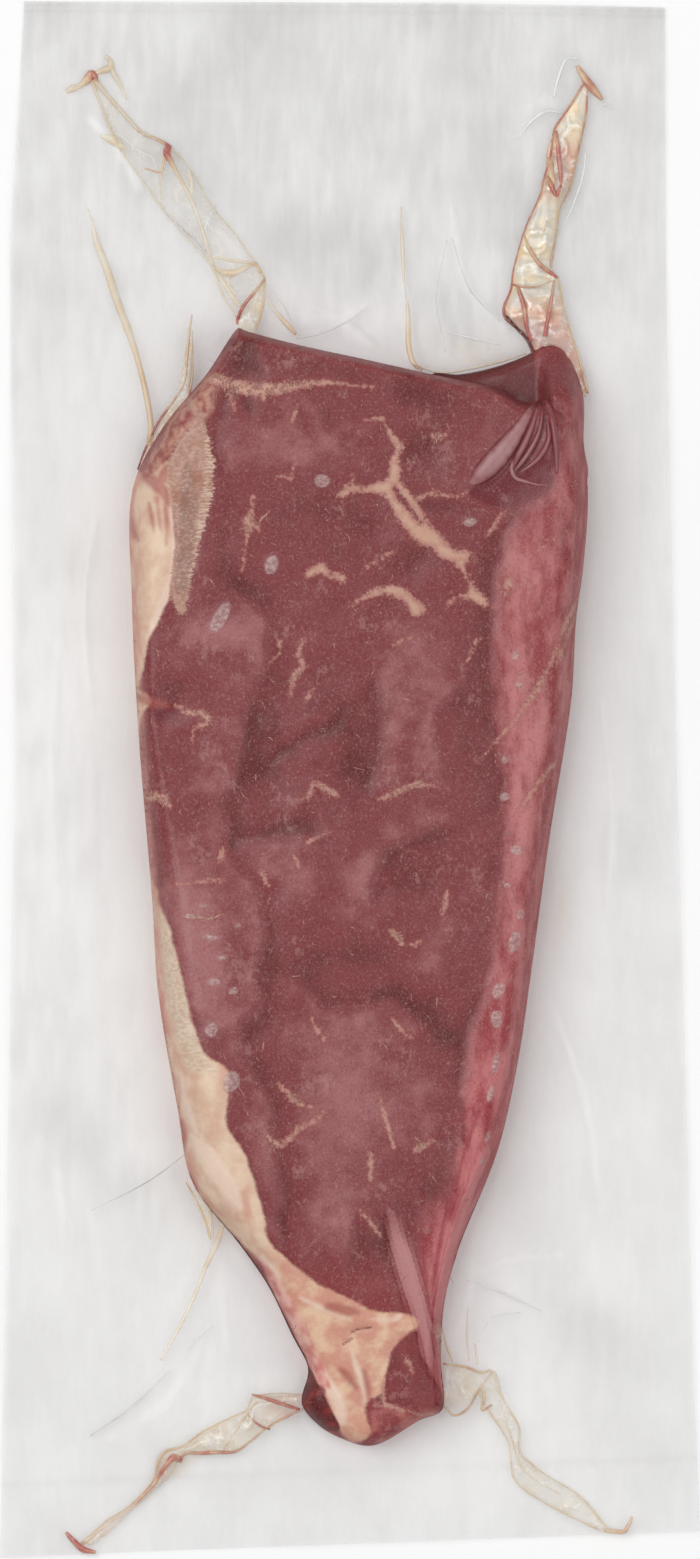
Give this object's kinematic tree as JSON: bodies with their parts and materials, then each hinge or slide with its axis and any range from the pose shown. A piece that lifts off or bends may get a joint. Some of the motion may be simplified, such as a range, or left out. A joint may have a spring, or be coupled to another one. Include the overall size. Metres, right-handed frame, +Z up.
{
  "type": "raw sirloin steak",
  "caption": "Raw sirloin steak lying face up, vacuum packed in a clear film bag with a wide sealed margin and puckered corner channels that hold its juice.",
  "frame": {"origin": "middle of the bag's bounding box, on the surface that the pack lies on", "axes": "+Z up out of the steak's cut face, +Y from the narrow tail to the broad slanted end, +X to the right when the pack is seen from above with the broad end at the top"},
  "size_m": [0.1586, 0.3526, 0.0221],
  "materials": {
    "meat": "moist raw beef seen through skin-tight clear film, satin",
    "film": "clear vacuum bag film, glossy, slightly milky where two layers lie together"
  },
  "bodies": {
    "root": {"steak": "meat", "bag": "film"}
  },
  "joints": []
}
